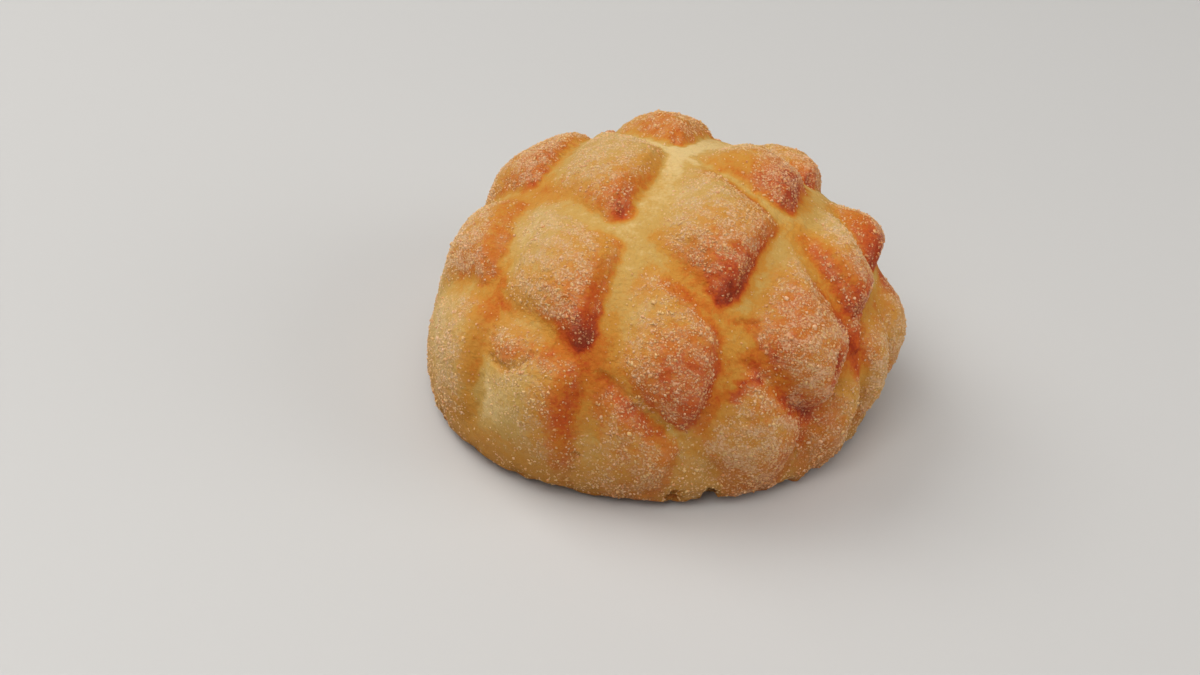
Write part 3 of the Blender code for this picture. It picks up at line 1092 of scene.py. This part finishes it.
def random_turns(rng, count):
    """Turning matrices of random unit quaternions."""
    w, x, y, z = rng.normal(size=(4, count))
    length = np.sqrt(w * w + x * x + y * y + z * z)
    w, x, y, z = w / length, x / length, y / length, z / length
    rows = [
        [1 - 2 * (y * y + z * z), 2 * (x * y - z * w), 2 * (x * z + y * w)],
        [2 * (x * y + z * w), 1 - 2 * (x * x + z * z), 2 * (y * z - x * w)],
        [2 * (x * z - y * w), 2 * (y * z + x * w), 1 - 2 * (x * x + y * y)],
    ]
    return np.array(rows).transpose(2, 0, 1)


skin = Skin(crust, dusting, brown)
print("the crust's area is", round(float(skin.areas.sum()) / MM**2), "square mm")

# %% Sow the grains
CLUMP_SIZE, CLUMP_SEED = 1.3 * MM, 32
SIZE_SPREAD, SHAPE_RANGE = 0.20, (0.75, 1.25)
# How far a grain's middle sinks for its size, how unlike the grains are in colour, and the brownest of them
SUNK, TOAST_SPREAD, MOST_TOAST = 0.38, 0.12, 1.2


def sow(name, block, count, size, power, material, seed):
    """One piece of many grains on the crust. A higher power keeps them to where the dusting is thick."""
    rng = np.random.default_rng(seed)
    places, normals, brown = skin.choose(rng, 2 * count, power)
    clumped = 0.25 + 0.75 * ease(-0.9, 0.9, mottle(places, CLUMP_SIZE, CLUMP_SEED))
    chances = rng.uniform(0, 1, 2 * count) / clumped
    kept = np.argsort(chances)[:count]
    places, normals, brown = places[kept], normals[kept], brown[kept]
    sizes = size * np.exp(rng.normal(0, SIZE_SPREAD, count))
    shape = sizes[:, None, None] * rng.uniform(*SHAPE_RANGE, (count, 1, 3))
    points = np.einsum("nij,nkj->nki", random_turns(rng, count), block[0][None] * shape)
    places = places + normals * (sizes * rng.uniform(-SUNK, 0.0, count))[:, None]
    points = (points + places[:, None]).reshape(-1, 3)
    faces = (block[1][None] + (np.arange(count) * len(block[0]))[:, None, None]).reshape(-1, 3)
    mesh = bpy.data.meshes.new(name)
    mesh.vertices.add(len(points))
    mesh.vertices.foreach_set("co", points.astype(np.float32).ravel())
    mesh.loops.add(faces.size)
    mesh.loops.foreach_set("vertex_index", faces.astype(np.int32).ravel())
    mesh.polygons.add(len(faces))
    mesh.polygons.foreach_set("loop_start", (np.arange(len(faces)) * 3).astype(np.int32))
    mesh.update(calc_edges=True)
    piece = bpy.data.objects.new(name, mesh)
    bpy.context.collection.objects.link(piece)
    # A grain takes the browning where it lies, including the painted shade near the base and in the cracks.
    toast = np.clip(brown + rng.normal(0, TOAST_SPREAD, count), 0, MOST_TOAST)
    carry(piece, "toast", np.repeat(toast, len(block[0])))
    carry(piece, "chance", np.repeat(rng.uniform(0, 1, count), len(block[0])))
    mesh.materials.append(material)
    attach(piece, "root")
    print(name, "has", count, "grains and", len(faces), "triangles")


# %% [markdown]
# Sugar on pale dough is nearly white. Where the crust is brown, the grains have taken up butter and colour,
# and let the crust shine through them, so they turn a rosy tan.

# %% Make the sugar and sow it
CLEAR_SUGAR = (0.74, 0.46, 0.190, 1)
ROSY_SUGAR = (0.66, 0.28, 0.095, 1)
DARK_SUGAR = (0.48, 0.14, 0.050, 1)
BRIGHT_SUGAR = (0.84, 0.56, 0.34, 1)
# Piece, block, count, size, and power of the dusting
KINDS = (
    ("coarse_sugar", coarse_block, 3000, 0.60 * MM, 1.3),
    ("sugar", plain_block, 14500, 0.42 * MM, 1.0),
    ("fine_sugar", plain_block, 13000, 0.32 * MM, 0.9),
    ("sugar_dust", dust_block, 16000, 0.25 * MM, 0.8),
)


def sugar_finish(name):
    recipe = Recipe(name, Roughness=0.35, Subsurface_Weight=0.5, Subsurface_Scale=0.0004)
    recipe.shader.inputs["Subsurface Radius"].default_value = (1.0, 0.8, 0.6)
    toast, chance = recipe.mask("toast"), recipe.mask("chance")
    share = toast + (chance - 0.5) * 0.5
    colour = recipe.mix(recipe.ease(0.0, 0.55, share), CLEAR_SUGAR, ROSY_SUGAR)
    colour = recipe.mix(recipe.ease(0.55, 1.25, share), colour, DARK_SUGAR)
    colour = recipe.mix(recipe.ease(0.70, 0.95, chance) * 0.65, colour, BRIGHT_SUGAR)
    return recipe.feed(Base_Color=colour)


sugar_material = sugar_finish("sugar")
for seed, kind in enumerate(KINDS, start=1):
    sow(*kind, sugar_material, seed)
